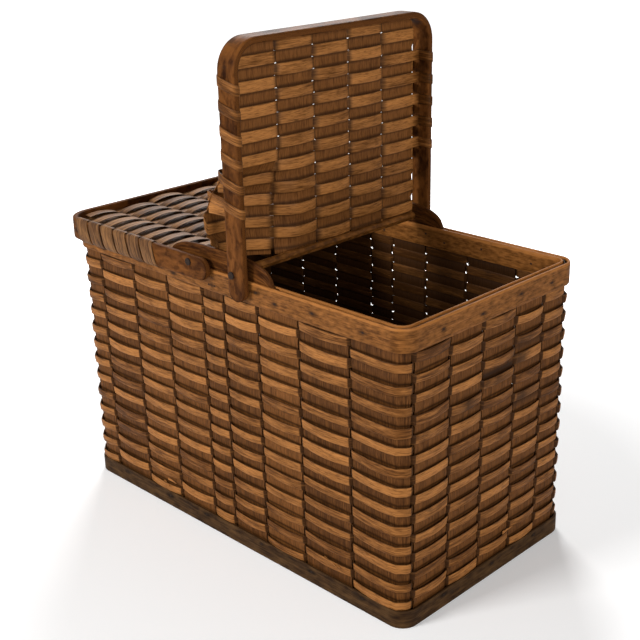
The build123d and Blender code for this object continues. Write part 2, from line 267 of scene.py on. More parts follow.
def grained_wood(name, light, dark, roughness, grain, pores, wear=0.0, stain=0.0, blotch=0.35, sheen=0.08,
                 figure=1.0, patches=(38, 190), spots=(30, 85)):
    """Wood whose grain runs along the piece: pale and dark streaks, fine pores, stains and worn faces.

    Grain, pores, patches and spots are counts a metre. Streaks are 25 times as long as wide, pores 13 times.
    """
    _, tree, shader = new_material(name)
    place = add(tree, "ShaderNodeUVMap", {"uv_map": "Grain"}).outputs["UV"]
    tone = add(tree, "ShaderNodeUVMap", {"uv_map": "Tone"}).outputs["UV"]
    split = add(tree, "ShaderNodeSeparateXYZ", links={0: tone})
    streak = cloud(tree, place, (grain * 0.04, grain), Detail=6.0, Roughness=0.68, Distortion=0.2)
    pore = cloud(tree, place, (pores * 0.075, pores), Detail=2.0)
    patch = cloud(tree, place, patches, Detail=3.0)
    mottled = maths(tree, "MULTIPLY_ADD", patch, blotch, maths(tree, "MULTIPLY", streak, figure))
    toned = maths(tree, "ADD", mottled, split.outputs["X"])
    centred = maths(tree, "ADD", toned, 0.5 - 0.5 * (figure + blotch))
    middle = tuple((a + b) / 2 for a, b in zip(light, dark))
    deep = tuple(c * 0.5 for c in dark)
    pale = tuple(min(1, c * 1.3) for c in light)
    soil_and_shade = tuple(c * 0.3 for c in dark)
    base = ramp(tree, centred, [(0.2, deep), (0.36, dark), (0.5, middle), (0.66, light), (0.86, pale)])
    lines = ramp(tree, pore, [(0.37, (0.36, 0.31, 0.27)), (0.5, (1, 1, 1))])
    result = blend(tree, 0.25 + 0.5 * figure, base, lines, "MULTIPLY")
    # The second Tone value blends towards this near-black colour: real grime, rust and stains, and painted
    # shade in slits, gaps and inside the basket.
    result = blend(tree, split.outputs["Y"], result, (*soil_and_shade, 1))
    if stain:
        spot = cloud(tree, place, spots, Detail=5.0, Roughness=0.7)
        mask = ramp(tree, spot, [(0.6, (0, 0, 0)), (0.72, (stain, stain, stain))])
        result = blend(tree, mask, result, (*linear("#241a12"), 1))
    if wear:
        rub = cloud(tree, place, (30, 260), Detail=4.0, Roughness=0.75)
        mask = ramp(tree, rub, [(0.54, (0, 0, 0)), (0.7, (wear, wear, wear))])
        result = blend(tree, mask, result, (*pale, 1))
    gloss = remapped(tree, streak, roughness + 0.1, roughness - 0.1)
    ridge = maths(tree, "MULTIPLY_ADD", pore, 0.5, streak)
    bump = add(tree, "ShaderNodeBump", links={"Strength": 0.35, "Distance": 0.4 * MM, "Height": ridge})
    for key, socket in (("Base Color", result), ("Roughness", gloss), ("Normal", bump.outputs[0])):
        tree.links.new(socket, shader.inputs[key])
    shader.inputs["IOR"].default_value = 1.5
    shader.inputs["Specular IOR Level"].default_value = sheen


def finishes():
    """All materials of the basket, made once."""
    if "Ash weaver" in bpy.data.materials:
        return bpy.data.materials
    c = bpy.context.scene.basket_colours
    # Split ash weavers, shaved and darkened with age: honey brown, grain 1 mm wide, a soft polish from hands.
    grained_wood("Ash weaver", c.weaver_light, c.weaver_dark, 0.5, 800, 1700, wear=0.25, stain=0.6,
                 blotch=0.6, figure=0.9)
    # Split ash uprights: the same wood made darker as painted shade, since less light reaches it between the
    # weavers, and with less wear.
    grained_wood("Ash upright", c.upright_light, c.upright_dark, 0.6, 760, 1500, blotch=0.35, figure=0.75)
    # Bent rim of ash, worn pale by hands, with long figure and dark specks.
    grained_wood("Bent ash rim", c.rim_light, c.rim_dark, 0.48, 560, 1100, wear=0.3, stain=0.7, blotch=0.8,
                 figure=0.55, patches=(130, 280), spots=(90, 300))
    # Bent foot band, greyed and dirtied by the ground.
    grained_wood("Bent ash foot", c.foot_light, c.foot_dark, 0.6, 480, 1000, wear=0.3, stain=0.9, blotch=0.8,
                 figure=0.6, patches=(60, 150))
    # Steam-bent oak of bows and crescents: reddish brown, oiled by use.
    grained_wood("Bent oak", c.bow_light, c.bow_dark, 0.5, 640, 1300, wear=0.4, stain=0.8, blotch=0.5,
                 sheen=0.03)
    # Splints of the closed lid: greyer, partly from dust and partly as a painted reflection of the sky on the
    # lid's top.
    grained_wood("Ash lid splint", c.lid_light, c.lid_dark, 0.5, 620, 1300, wear=0.2, stain=0.6, sheen=0.1)
    # Wrought iron nail heads, rusted dark: rough, with no shine left.
    _, tree, shader = new_material("Rusted iron")
    place = add(tree, "ShaderNodeTexCoord").outputs["Object"]
    rust = add(tree, "ShaderNodeTexNoise", links={"Vector": place, "Scale": 900.0, "Detail": 4.0})
    tint = ramp(tree, rust.outputs["Fac"], [(0.35, tuple(c.iron)), (0.7, linear("#33231a"))])
    tree.links.new(tint, shader.inputs["Base Color"])
    shader.inputs["Metallic"].default_value = 0.1
    shader.inputs["Roughness"].default_value = 0.8
    shader.inputs["Specular IOR Level"].default_value = 0.2
    return bpy.data.materials


def wobble(seed, at, scale=1.0):
    """Smooth chance value between about -1 and 1."""
    return noise.noise(Vector((at * scale, seed * 7.31, 0.37 * seed)))


def chance(seed):
    """Fixed chance value between 0 and 1."""
    value = sin(seed * 127.1 + 11.7) * 43758.5453
    return value - floor(value)


def uneven(seed):
    """Fixed chance value between -0.5 and 0.5."""
    return chance(seed) - 0.5


def within(value, low=0.0, high=1.0):
    """Value kept between two limits."""
    return min(high, max(low, value))


def eased(value):
    """Smooth step from 0 to 1."""
    value = within(value)
    return value * value * (3 - 2 * value)


def in_scene(name, data):
    """New object of the scene."""
    made = bpy.data.objects.new(name, data)
    bpy.context.scene.collection.objects.link(made)
    return made


class Pile:
    """Collects strips into one mesh with its grain and tone maps."""

    def __init__(self):
        self.points, self.faces, self.grain, self.tone = [], [], [], []

    def strip(self, rows, thickness, profile=(0.55, 1, 1, 1, 0.55), closed=False, tone=0.0, dirt=0.0,
              start=0.0, inner=0.0):
        """Even strip through rows of points that go across it, with its own thickness and rounded edges.

        Tone and the darkening (grime and rust, and painted shade) are one value, one for each row, or asked
        for by row and place in it.
        Inner is the inner face's least darkening, a painted shade that keeps the inside dark, and start is
        where in the wood's grain the strip begins.
        """
        count, width = len(rows), len(rows[0])
        along, at = [start], start
        for a, b in zip(rows, rows[1:] + rows[:1]):
            at += (b[width // 2] - a[width // 2]).length
            along.append(at)
        across = [0.0]
        for a, b in zip(rows[0], rows[0][1:]):
            across.append(across[-1] + (b - a).length)
        base = len(self.points)
        for layer in (1, -1):
            for i, row in enumerate(rows):
                before = rows[i - 1] if closed or i else row
                after = rows[(i + 1) % count] if closed or i < count - 1 else row
                for j, point in enumerate(row):
                    side = row[min(j + 1, width - 1)] - row[max(j - 1, 0)]
                    normal = (after[j] - before[j]).cross(side)
                    if normal.length < 1e-12:
                        normal = Vector((0, 0, 1))
                    normal.normalize()
                    self.points.append(point + normal * (layer * thickness * profile[j] / 2))

        def found(given, i, j):
            if callable(given):
                return given(i % count, j)
            return given[i % count] if isinstance(given, list) else given

        def put(quad):
            self.faces.append([base + (0 if layer == 1 else count * width) + (i % count) * width + j
                               for i, j, layer in quad])
            for i, j, layer in quad:
                # The inner face takes its grain from another stretch of the wood, 3.1 m further on.
                self.grain.append((along[i] + (3.1 if layer == -1 else 0.0), across[j] + start * 0.37))
                # The second Tone value darkens the wood with grime, rust and painted shade; the inner face
                # takes at least its painted shade.
                self.tone.append((found(tone, i, j), max(found(dirt, i, j), inner if layer == -1 else 0.0)))

        for i in range(count if closed else count - 1):
            for j in range(width - 1):
                put([(i, j, 1), (i, j + 1, 1), (i + 1, j + 1, 1), (i + 1, j, 1)])
                put([(i, j, -1), (i + 1, j, -1), (i + 1, j + 1, -1), (i, j + 1, -1)])
            put([(i, 0, 1), (i + 1, 0, 1), (i + 1, 0, -1), (i, 0, -1)])
            put([(i, width - 1, 1), (i, width - 1, -1), (i + 1, width - 1, -1), (i + 1, width - 1, 1)])
        if not closed:
            end = count - 1
            for j in range(width - 1):
                put([(0, j, 1), (0, j, -1), (0, j + 1, -1), (0, j + 1, 1)])
                put([(end, j, 1), (end, j + 1, 1), (end, j + 1, -1), (end, j, -1)])

    def piece(self, name, finish, slot, body, nodes):
        """Object of the collected strips, riding on its body in place of its nodes."""
        mesh = bpy.data.meshes.new(name)
        mesh.from_pydata([tuple(p) for p in self.points], [], self.faces)
        for label, values in (("Grain", self.grain), ("Tone", self.tone)):
            layer = mesh.uv_layers.new(name=label)
            layer.data.foreach_set("uv", [c for pair in values for c in pair])
        mesh.materials.append(finishes()[finish])
        mesh.shade_smooth()
        mesh.set_sharp_from_angle(angle=radians(50))
        mesh.validate()
        made = in_scene(name, mesh)
        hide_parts(*nodes)
        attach(made, body)


def outline(depth):
    """Half lengths and corner radius of a line round the basket, at a depth from the hoops' outer face."""
    size = (RIM[1] - RIM[0]) / 2
    return size.x - depth, size.y - depth, basket_sizes().corner - depth


def on_wall(at, line=None):
    """Plan point and way out at a distance round the wall's middle line, from the front's left end."""
    half_x, half_y, radius = line or outline(WALL_DEPTH)
    flats = [2 * (half_x - radius), 2 * (half_y - radius)] * 2
    turn = radius * pi / 2
    at %= sum(flats) + 4 * turn
    for side in range(4):
        heading = side * pi / 2
        ahead = Vector((cos(heading), sin(heading), 0))
        aside = Vector((sin(heading), -cos(heading), 0))
        reach, out = (half_x, half_y) if side % 2 == 0 else (half_y, half_x)
        if at <= flats[side]:
            return MIDDLE + ahead * (at - reach + radius) + aside * out, aside
        at -= flats[side]
        if at <= turn:
            angle = heading - pi / 2 + at / radius
            normal = Vector((cos(angle), sin(angle), 0))
            return MIDDLE + ahead * (reach - radius) + aside * (out - radius) + normal * radius, normal
        at -= turn
    return on_wall(0, line)


def uprights_round():
    """Start, end and node of every upright as distances round the wall, and the whole length round it."""
    half_x, half_y, radius = outline(WALL_DEPTH)
    turn = radius * pi / 2
    faces = []
    for names, axis, flat, wing in (
        (CROSS, 0, half_x - radius, turn * CORNER_SHARE),
        (LONG, 1, half_y - radius, 0),
    ):
        spans = [[corner[axis] - MIDDLE[axis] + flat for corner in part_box(name)] + [name] for name in names]
        spans[0][0] = -wing
        spans[-1][1] = 2 * flat + wing
        faces.append((spans, 2 * flat))
    spans, at = [], 0.0
    for number in range(4):
        face, width = faces[number % 2]
        if number >= 2:
            face = [(width - b, width - a, name) for a, b, name in face[::-1]]
        spans += [(at + a, at + b, name) for a, b, name in face]
        at += width + turn
    return spans, at


def crossing(at, spans, total, first):
    """Side of a weaver at a place on the wall, and how fully it is there.

    Then how far along which upright's stretch the place is, and how far from the next slit.
    """
    slope = basket_sizes().slope / 2
    for i, (start, end, _) in enumerate(spans):
        before = spans[i - 1][1] - (total if i == 0 else 0)
        after = spans[(i + 1) % len(spans)][0] + (total if i == len(spans) - 1 else 0)
        low, high = (before + start) / 2, (end + after) / 2
        place = at + total if at < low else at
        if low <= place <= high:
            gap = min(place - low, high - place)
            ease = sin(min(1.0, gap / slope) * pi / 2)
            return first if i % 2 == 0 else -first, ease, (place - low) / (high - low), i, gap
    return first, 1.0, 0.5, 0, 10 * MM


def stained(point):
    """Strength of the old stains at a place on the wall."""
    most = 0.0
    x, y, z = point / MM
    for across, height, wide, tall, strength in STAINS:
        ring = ((x - STAINS_AT) ** 2 + (y - across) ** 2) / wide ** 2 + ((z - height) / tall) ** 2
        if ring < 4:
            rough = max(0.0, 0.85 + 0.8 * noise.noise(point * 260))
            most = max(most, strength * exp(-ring) * rough * 1.3)
    return min(0.95, most)


def woven_rows():
    """Weaver rows of the wall, each a closed strip that humps over every other upright.

    Gives the node, rows of points, tones, and darkening of each: painted shade in the slits and behind the
    uprights, with the old stains.
    """
    sizes = basket_sizes()
    spans, total = uprights_round()
    marks = []
    for i, (start, end, _) in enumerate(spans):
        after = spans[(i + 1) % len(spans)][0] + (total if i == len(spans) - 1 else 0)
        steps = max(3, int((end - start) / 0.007))
        marks += [start + (end - start) * (k + 0.5) / steps for k in range(steps)]
        marks += [(end + after) / 2 + d * MM for d in SLIT_MARKS]
    marks = sorted(set(round(m, 6) for m in marks))
    places = [(on_wall(m), m) for m in marks]
    for number, name in enumerate(ROWS):
        low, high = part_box(name)
        first = 1 if number % 2 == 0 else -1
        middle = (low.z + high.z) / 2
        rows, shades, soil_and_shade = [], [], []
        for (point, normal), m in places:
            side, ease, along, which, gap = crossing(m, spans, total, first)
            over = side > 0
            seed = number * 31 + which
            span = min(1.0, (spans[which][1] - spans[which][0]) / WIDE_UPRIGHT)
            arch = sin(pi * along) ** 0.75 * span * (0.45 + 0.55 * chance(seed + 0.2))
            out = side * ease * sizes.side + (arch * sizes.bulge if over else -0.3 * MM * arch)
            fuller = 0.09 * arch + 0.24 * uneven(seed + 0.7) * ease + 0.06 * wobble(number, m, 25)
            half = sizes.row_height / 2 * (0.92 + fuller if over else 0.96)
            drop = 0.8 * MM * wobble(number + 3, m, 9) + 1.5 * MM * uneven(seed) * ease
            sag = (-1.5 if over else 0.4) * MM * arch
            lean = 0.8 * MM * ease * (0.3 + chance(seed + 0.5)) if over else 0.1 * MM
            row = []
            for k in (-1, -0.88, -0.45, 0, 0.45, 0.88, 1):
                dome = 0.25 * MM * (1 - k * k) if over else 0
                push = min(FARTHEST_OUT, out + lean * k * 0.6 + dome)
                row.append(point + normal * push + Vector((0, 0, middle + drop + sag + half * k)))
            rows.append(row)
            # Painted shade, darkest in the slits and lighter where the weaver runs behind an upright; the old
            # stains on top are real.
            slit = 0.97 * within((SLIT_HALF - gap) / SLIT_FADE)
            soil_and_shade.append(max(min(0.97, slit + (0 if over else 0.3)), stained(row[3])))
            shades.append(0.10 * uneven(number * 3.7) + 0.20 * wobble(number, m, 6) + 0.17 * uneven(seed))
        yield name, rows, shades, soil_and_shade


def broken_end(pile, at, height, reach, lift, rise):
    """Narrow splinter that has come off a weaver."""
    rows = []
    for k in range(9):
        t = k / 8
        point, normal = on_wall((at + reach * t) * MM)
        half = (1.5 - 1.2 * t) * MM
        out = basket_sizes().side + (1.4 + lift * t * t) * MM
        z = (height + rise * t) * MM
        rows.append([point + normal * out + Vector((0, 0, z + half * j)) for j in (-1, 0, 1)])
    pile.strip(rows, 0.7 * MM, (0.6, 1, 0.6), tone=0.12, start=at * 9 * MM)


class BASKET_OT_weavers(bpy.types.Operator):
    """Closed weaver rows of the walls"""
    bl_idname = "basket.weavers"
    bl_label = "Weavers"

    def execute(self, context):
        for number, (name, rows, shades, soil_and_shade) in enumerate(woven_rows()):
            pile = Pile()
            # Painted shade lines along both edges of each weaver, and painted shade on its inner face.
            pile.strip(rows, basket_sizes().splint, WEAVER_PROFILE, closed=True, tone=shades,
                       dirt=lambda i, j, s=soil_and_shade: max(s[i], 0.85 if j in WEAVER_EDGES else 0),
                       start=number * 1.713, inner=0.8)
            low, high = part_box(name)
            for end in BROKEN_ENDS:
                if abs(end[1] * MM - (low.z + high.z) / 2) <= 4.7 * MM:
                    broken_end(pile, *end)
            pile.piece("wall_" + name, "Ash weaver", "weaver_splint", "basket", [name])
        return {"FINISHED"}


def upright_rows(number, start, end, peak):
    """Rows of points and darkening of one upright from its top down, swaying between the weavers: painted
    shade under the rim and beside the weavers, with the old stains.
    """
    low_rows, high_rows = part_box(ROWS[0])[0].z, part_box(ROWS[-1])[1].z
    pitch = (high_rows - low_rows) / len(ROWS)
    foot = BASE_HEIGHT + BASE_BEND
    rows, soil_and_shade = [], []
    for step in range(UPRIGHT_STEPS, -1, -1):
        z = foot + (peak - foot) * step / UPRIGHT_STEPS
        # Painted shade where the upright runs up between the rim hoops.
        dark = 0.92 if z > RIM[1].z - 6 * MM else 0.0
        swell = 0.0
        if low_rows < z < high_rows:
            place = (z - low_rows) / pitch
            outside = 1 if (int(place) + number) % 2 == 0 else -1
            swell = -outside * 0.55 * MM * sin(pi * (place % 1))
            # Painted shade on the upright just beside a weaver that crosses it.
            above = (place % 1) * pitch if outside < 0 else pitch * (place % 1 - 1)
            dark = max(0.0, 1 - abs(above + 0.3 * MM) / (1.5 * MM)) ** 0.7 * 0.95
        swell += 0.15 * MM * wobble(number + 40, z, 30)
        row = []
        for k in range(7):
            point, normal = on_wall(start + (end - start) * k / 6)
            row.append(point + normal * swell + Vector((0, 0, z)))
        rows.append(row)
        soil_and_shade.append(max(dark, stained(row[3])))
    return rows, soil_and_shade


def turned_up(t, half):
    """How far a base splint's bend has come at a distance from the middle, and the height gained there."""
    share = within((abs(t) - (half - BASE_BEND)) / BASE_BEND)
    return share, BASE_BEND * (1 - (1 - share * share) ** 0.5)


def cross_base(name, low, high):
    """Rows of points of a cross splint's stretch under the base."""
    half_x, half_y, radius = outline(WALL_DEPTH)
    flat = half_x - radius + 4 * MM
    x0 = MIDDLE_X - flat if name == CROSS[0] else low.x
    x1 = MIDDLE_X + flat if name == CROSS[-1] else high.x
    for k in range(41):
        t = half_y * (k / 20 - 1)
        z = BASE_HEIGHT + turned_up(t, half_y)[1]
        yield [Vector((x0 + (x1 - x0) * j / 4, t, z)) for j in range(5)]


def long_base(name, low, high):
    """Rows of points of a long splint's stretch, over and under the cross splints of the base."""
    half_x = outline(WALL_DEPTH)[0]
    edges = []
    for n, cross in enumerate(CROSS):
        a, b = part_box(cross)
        edges.append((a.x - 2 * MM, b.x + 2 * MM, 1 if (LONG.index(name) + n) % 2 else -1))
    for k in range(141):
        t = half_x * (k / 70 - 1)
        x = MIDDLE_X + t
        side = 0.0
        for a, b, over in edges:
            if a <= x <= b:
                side = over * within(min(x - a, b - x) / (4.5 * MM))
        share, gained = turned_up(t, half_x)
        z = BASE_HEIGHT + side * basket_sizes().side * (1 - share) + gained
        yield [Vector((x, low.y + (high.y - low.y) * j / 4, z)) for j in range(5)]


class BASKET_OT_uprights(bpy.types.Operator):
    """Splints that stand in the walls and cross under the base"""
    bl_idname = "basket.uprights"
    bl_label = "Uprights"

    def execute(self, context):
        splint = basket_sizes().splint
        top = RIM[1].z - 1.4 * MM
        legs = {}
        for i, (start, end, name) in enumerate(uprights_round()[0]):
            legs.setdefault(name, []).append((i, start, end))
        for number, (name, pair) in enumerate(legs.items()):
            pile = Pile()
            low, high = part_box(name)
            under_crescent = name in CROSS and high.z < top - 10 * MM
            for i, start, end in pair:
                rows, soil_and_shade = upright_rows(i, start, end, high.z if under_crescent else top)
                # Painted shade on the inner face of each upright.
                pile.strip(rows, splint, (0.6, 1, 1, 1, 1, 1, 0.6), tone=0.2 * uneven(i + 60), dirt=soil_and_shade,
                           start=i * 2.31, inner=0.85)
            base = (cross_base if name in CROSS else long_base)(name, low, high)
            # The base splints are darkened all over as painted shade on the floor of the basket.
            pile.strip(list(base), splint, tone=0.1 * uneven(number), dirt=0.6, start=number * 5.3)
            pile.piece("woven_" + name, "Ash upright", "upright_splint", "basket", [name])
        return {"FINISHED"}


def nail_spots(name):
    """Middle of each nail of a group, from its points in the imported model."""
    spots = []
    for vertex in frame["nodes"][name].data.vertices:
        near = [spot for spot in spots if (spot[0] / spot[1] - vertex.co).length < 12 * MM]
        if near:
            near[0][0] += vertex.co
            near[0][1] += 1
        else:
            spots.append([vertex.co.copy(), 1])
    return [total / number for total, number in spots]


def nail_dirt(rows, nails):
    """Dark rings of rust round the nails, by row and place in it."""
    soil_and_shade = {}
    for number, nail in enumerate(nails):
        wide, tall = (3.2 + 2.6 * chance(number)) * MM, (1.5 + 0.6 * chance(number + 9)) * MM
        depth = min((row[0] - nail).xy.length for row in rows)
        for i, row in enumerate(rows):
            along = max(0.0, (row[0] - nail).xy.length_squared - depth ** 2)
            if along > (14.1 * MM) ** 2:
                continue
            for j, point in enumerate(row):
                ring = along / wide ** 2 + ((point.z - nail.z) / tall) ** 2
                rust = exp(-ring ** 2 * (0.5 + 0.5 * chance(i * 1.3 + j)))
                soil_and_shade[i, j] = max(soil_and_shade.get((i, j), 0), rust)
    return soil_and_shade


def hoop_strip(pile, low, high, inset, thickness, seed, nails=()):
    """Bent hoop at a depth from the hoops' outer face, slightly wavy as old bent wood is."""
    line = outline(inset + thickness / 2)
    half_x, half_y, bend = line
    total = 4 * (half_x + half_y - 2 * bend) + 2 * pi * bend
    steps = NAILED_HOOP_STEPS if nails else HOOP_STEPS
    face = [0.12 + 0.76 * k / 10 for k in range(11)] if nails else [0.2, 0.5, 0.8]
    edge = 0.045
    heights = [0, edge, *face, 1 - edge, 1]
    waved = -0.15 * MM if inset == 0 else 0.15 * MM
    rows = []
    for i in range(steps):
        at = total * i / steps
        point, normal = on_wall(at, line)
        point = point + normal * (waved * (1 + wobble(seed, at, 11)))
        lift = 0.3 * MM * wobble(seed + 5, at, 8)
        if low < 10 * MM:
            lift = 0
        rows.append([point + Vector((0, 0, low + (high - low) * h + lift * (0.3 + 0.7 * h)))
                     for h in heights])
    soil_and_shade = nail_dirt(rows, nails)
    # The rim's top edge rows are toned pale: a painted highlight along the top edge.
    top = len(heights) - 2
    at_rim = low > 100 * MM
    pile.strip(rows, thickness, (0.62, 0.96, *[1] * len(face), 0.96, 0.62), closed=True,
               tone=lambda i, j: 0.05 * wobble(seed, i * 0.03) + (0.8 if j >= top and at_rim else 0),
               dirt=lambda i, j: soil_and_shade.get((i, j), 0.0), start=seed * 1.9)


class BASKET_OT_hoops(bpy.types.Operator):
    """Rim and foot hoops"""
    bl_idname = "basket.hoops"
    bl_label = "Hoops"

    def execute(self, context):
        inside = OUTER_HOOP + WALL_SPACE
        jobs = [
            ("rim_outer_hoop", "Bent ash rim", "rim_wood", RIM, 0, OUTER_HOOP, nail_spots("rim_nails")),
            ("rim_inner_hoop", "Bent ash rim", "rim_wood", RIM_INNER, inside, INNER_HOOP, ()),
            ("foot_outer_hoop", "Bent ash foot", "foot_wood", FOOT, 0, OUTER_HOOP, nail_spots("foot_nails")),
            ("foot_inner_hoop", "Bent ash foot", "foot_wood", FOOT_INNER, inside, INNER_HOOP, ()),
        ]
        for seed, (name, finish, slot, (low, high), inset, thickness, nails) in enumerate(jobs, 1):
            pile = Pile()
            hoop_strip(pile, low.z, high.z, inset, thickness, seed, nails)
            pile.piece("bent_" + name, finish, slot, "basket", [name])
        return {"FINISHED"}


class BASKET_OT_crescents(bpy.types.Operator):
    """Wooden ears that carry the pivots"""
    bl_idname = "basket.crescents"
    bl_label = "Crescents"

    def execute(self, context):
        steps = 72
        for seed, name in enumerate(("front_crescent", "back_crescent")):
            low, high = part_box(name)
            middle_y = (low.y + high.y) / 2
            rows = []
            for i in range(steps + 1):
                along = (CRESCENT_HALF + TONGUE_MORE) * (2 * i / steps - 1)
                reach = abs(along) / CRESCENT_HALF
                top = RIM[1].z - 0.5 * MM
                if reach < 1:
                    dip = (1 - (1 - reach ** 2) ** 0.5) ** 1.6
                    top = RIM[1].z + CRESCENT_RISE * (1 - dip)
                rows.append([Vector((MIDDLE_X + along, middle_y, low.z + (top - low.z) * h))
                             for h in (0, 0.2, 0.4, 0.6, 0.75, 0.88, 0.965, 1)])
            pile = Pile()
            pile.strip(rows, high.y - low.y, (1, 1, 1, 1, 1, 1, 0.94, 0.6), tone=-0.06, start=seed * 3.7 + 8)
            pile.piece("wooden_" + name, "Bent oak", "crescent_wood", "basket", [name])
        return {"FINISHED"}


def lid_frame(hand):
    """Turns a lid's plan (along from the pivot, across, height above the pivot) into its resting place.

    The left lid lies closed and the right one stands open.
    """
    if hand == "left":
        pivot = PIVOTS["left_lid"]
        return lambda a, y, h: Vector((pivot.x - a, y, pivot.z + h))
    pivot = PIVOTS["right_lid"]
    return lambda a, y, h: Vector((pivot.x - h, y, pivot.z + a))


def bow_line():
    """Plan of the bow's middle line from the near tail to the far one: along, across and the way out."""
    radius = BOW_CORNER - BOW_THICKNESS / 2
    cx, cy = BOW_REACH - BOW_CORNER, BOW_OUTER - BOW_CORNER
    arm = [-BOW_TAIL + (cx + BOW_TAIL) * (k / 60) ** 1.9 for k in range(61)]
    turn = [k / 12 * pi / 2 for k in range(1, 13)]
    points = [(a, -(cy + radius), (0, -1)) for a in arm]
    points += [(cx + radius * sin(t), -cy - radius * cos(t), (sin(t), -cos(t))) for t in turn]
    points += [(cx + radius, -cy + 2 * cy * k / 30, (1, 0)) for k in range(1, 31)]
    points += [(cx + radius * cos(t), cy + radius * sin(t), (cos(t), sin(t))) for t in turn]
    points += [(a, cy + radius, (0, 1)) for a in arm[-2::-1]]
    return points


def bow_pile(hand):
    """Bent frame of one lid, with rounded tails and eased edges."""
    place = lid_frame(hand)
    middle, radius = (BOW_LOW + BOW_HIGH) / 2, (BOW_HIGH - BOW_LOW) / 2
    seed = 3 if hand == "left" else 9
    rows = []
    for i, (a, y, (ahead, aside)) in enumerate(bow_line()):
        from_end = min(a + BOW_TAIL, radius)
        half = max(1.2 * MM, (radius ** 2 - (radius - from_end) ** 2) ** 0.5)
        wave = 0.35 * MM * min(0.0, wobble(seed, i * 0.05))
        row = [place(a + ahead * wave, y + aside * wave, middle + half * s)
               for s in (-1, -0.93, -0.7, -0.3, 0.3, 0.7, 0.93, 1)]
        rows.append(row if hand == "left" else row[::-1])
    pile = Pile()
    pile.strip(rows, BOW_THICKNESS, (0.66, 0.95, 1, 1, 1, 1, 0.95, 0.66),
               tone=lambda i, j: 0.06 * wobble(2, i * 0.07), start=4.0)
    return pile


def loosened(hand, a, y):
    """How far the open lid's loose near corner spreads sideways, and stands out at its back."""
    if hand == "left":
        return 0.0, 0.0
    high = sin(pi / 2 * within((LOOSE_TOP - a) / LOOSE_LENGTH)) ** 1.15
    # The corner spreads only where it is behind the arm and above the crescent.
    free = eased((high - 0.2) / 0.25) * eased((a - 18 * MM) / (10 * MM))
    aside = within((-75 * MM - y) / (36.5 * MM)) ** 2
    return -LOOSE_SPREAD * free * aside, basket_sizes().hump * high * eased((-45 * MM - y) / (60 * MM))


def splint_edges():
    """Near and far edge of each lid splint."""
    width = (2 * PANEL_HALF - LID_GAP * (LID_SPLINTS - 1)) / LID_SPLINTS
    starts = [-PANEL_HALF + i * (width + LID_GAP) for i in range(LID_SPLINTS)]
    return [(start, start + width) for start in starts]


def row_pitch():
    """Distance from one weaver row of a lid to the next."""
    return (LID_ROWS_END - LID_ROWS_START) / basket_sizes().lid_rows


def splints_pile(hand):
    """Flat splints along the lid, with painted shade where a weaver row meets the next."""
    place = lid_frame(hand)
    pitch = row_pitch()
    pile = Pile()
    steps = 219
    for n, (y0, y1) in enumerate(splint_edges()):
        end = (200.3 if 0 < n < LID_SPLINTS - 1 else 198.8) * MM
        rows, soil_and_shade = [], []
        for k in range(steps + 1):
            a = SPLINT_START + (end - SPLINT_START) * k / steps
            # Painted shade on the splint in the gap between two weaver rows.
            from_middle = abs((a - LID_ROWS_START) / pitch % 1 - 0.5)
            soil_and_shade.append(0.8 * max(0.0, (from_middle - 0.27) / 0.23) ** 0.8)
            ripple = 0.4 * MM * sin(pi * (a - LID_ROWS_START - 0.1 * MM) / pitch) * (1 if n % 2 else -1)
            # Room that the bend of the bow leaves to the outer splints.
            limit = 99.5 * MM + max(0.0, (21.8 * MM) ** 2 - max(0.0, a - 177 * MM) ** 2) ** 0.5
            row = []
            for j in range(5):
                wider = 1 + (0.03 + 0.05 * wobble(n + 50 + 9 * (j > 2), a, 40)) * abs(j - 2) / 2
                y = within((y0 + y1) / 2 + (y1 - y0) / 4 * (j - 2) * wider, -limit, limit)
                spread, push = loosened(hand, a, y)
                row.append(place(a, y + spread, PANEL_LEVEL + ripple + push))
            rows.append(row if hand == "left" else row[::-1])
        shade = 0.15 * uneven(n + 70) + (0.1 if hand == "right" else 0)
        pile.strip(rows, basket_sizes().splint, tone=shade, dirt=soil_and_shade, start=n * 1.3 + 20)
    return pile


def lid_offset(a, y, over_first):
    """Height of a lid weaver over or under the lid splints, how far the next slit is, and which splint."""
    sizes = basket_sizes()
    edges = splint_edges()
    last = len(edges) - 1
    for i, (y0, y1) in enumerate(edges):
        low = y0 - (LID_GAP / 2 if i else 20 * MM)
        high = y1 + (LID_GAP / 2 if i < last else 20 * MM)
        if low <= y <= high:
            over = (i % 2 == 0) == over_first
            gap = 1.0
            if i:
                gap = min(gap, (y - low) / (3.5 * MM))
            if i < last:
                gap = min(gap, (high - y) / (3.5 * MM))
            hump = sin(pi * within((y - y0) / (y1 - y0))) ** 0.7
            bulge = sizes.lid_bulge
            if not over:
                # The under side stays flat near the end bar and half as deep by the arms, clear of the rim.
                bulge *= within((184 * MM - a) / (12 * MM), 0.1) * (0.5 if i in (0, last) else 1)
            height = sin(within(gap) * pi / 2) * (sizes.side + bulge * hump)
            return height if over else -height, gap, i
    return 0.0, 1.0, 0


def rounded(points):
    """Line with its corners cut twice, so that a splint bends and doesn't fold."""
    for _ in range(2):
        line = [points[0]]
        for p, q in zip(points, points[1:]):
            line.append(tuple(a * 0.78 + b * 0.22 for a, b in zip(p, q)))
            line.append(tuple(a * 0.22 + b * 0.78 for a, b in zip(p, q)))
        line.append(points[-1])
        points = line
    return points


